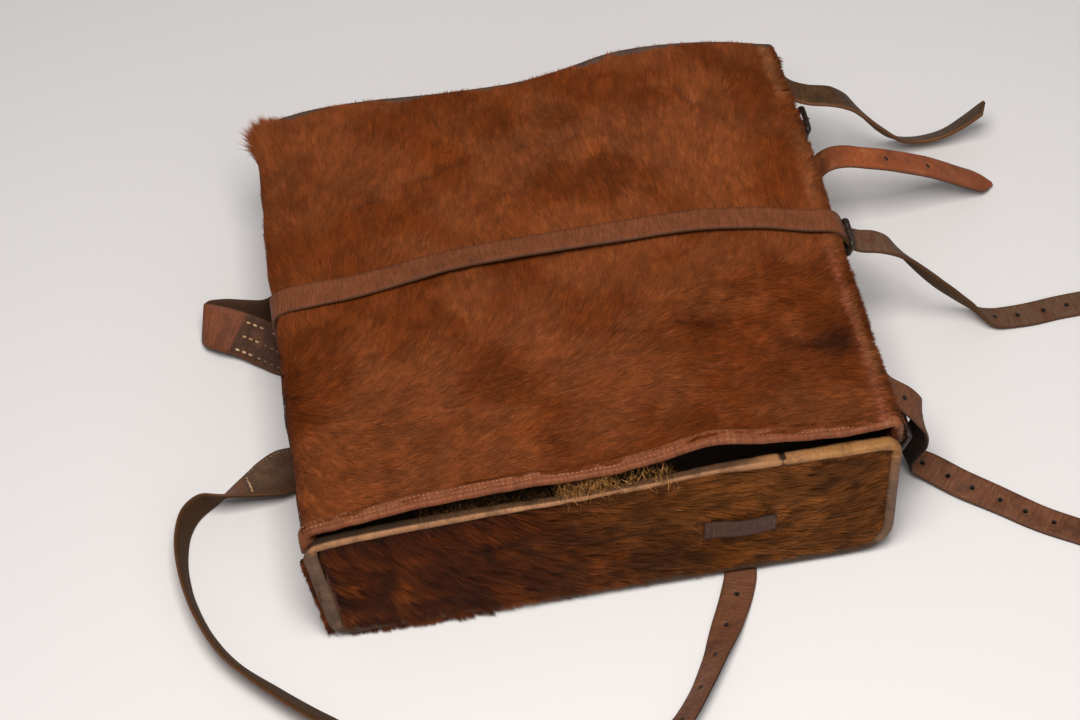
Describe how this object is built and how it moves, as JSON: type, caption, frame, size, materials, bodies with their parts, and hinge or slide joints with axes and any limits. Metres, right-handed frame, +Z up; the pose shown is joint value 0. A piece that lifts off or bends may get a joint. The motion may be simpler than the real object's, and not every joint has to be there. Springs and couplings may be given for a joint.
{
  "type": "cowhide rucksack",
  "caption": "Framed hair-on cowhide rucksack lying on its back, with a wavy loose flap, leather edgings, a buckled centre strap, punched straps and shoulder straps.",
  "frame": {"origin": "middle of the footprint of the whole piece as it lies, straps included, on the table", "axes": "+X from the pack's top edge with the flap's hinge to its bottom edge, +Y to its far side, +Z up"},
  "size_m": [0.6316, 0.562, 0.1335],
  "materials": {
    "hide": "hair-on cowhide",
    "band": "worn stitched leather",
    "piping": "worn rolled leather",
    "strap": "aged strap leather",
    "metal": "dark worn metal"
  },
  "bodies": {
    "root": {"back_panel": "hide", "top_wall": "hide", "bottom_wall": "hide", "near_wall": "hide", "far_wall": "hide", "flap": "hide", "flap_binding_near": "band", "flap_binding_far": "band", "rim_binding_near": "piping", "rim_binding_far": "piping", "corner_binding_near": "piping", "corner_binding_far": "piping", "side_keeper": "strap", "centre_strap": "strap", "corner_strap_near": "strap", "corner_strap_far": "strap", "billet_strap": "strap", "shoulder_strap_near": "strap", "shoulder_strap_far": "strap", "shoulder_billet_near": "strap", "shoulder_billet_far": "strap", "shoulder_buckle_near": "metal", "shoulder_buckle_far": "metal", "centre_buckle": "metal", "centre_buckle_prong": "metal", "centre_buckle_tab": "strap", "near_buckle": "metal", "near_buckle_prong": "metal", "near_buckle_tab": "strap", "far_buckle": "metal", "far_buckle_prong": "metal", "far_buckle_tab": "strap"}
  },
  "joints": []
}
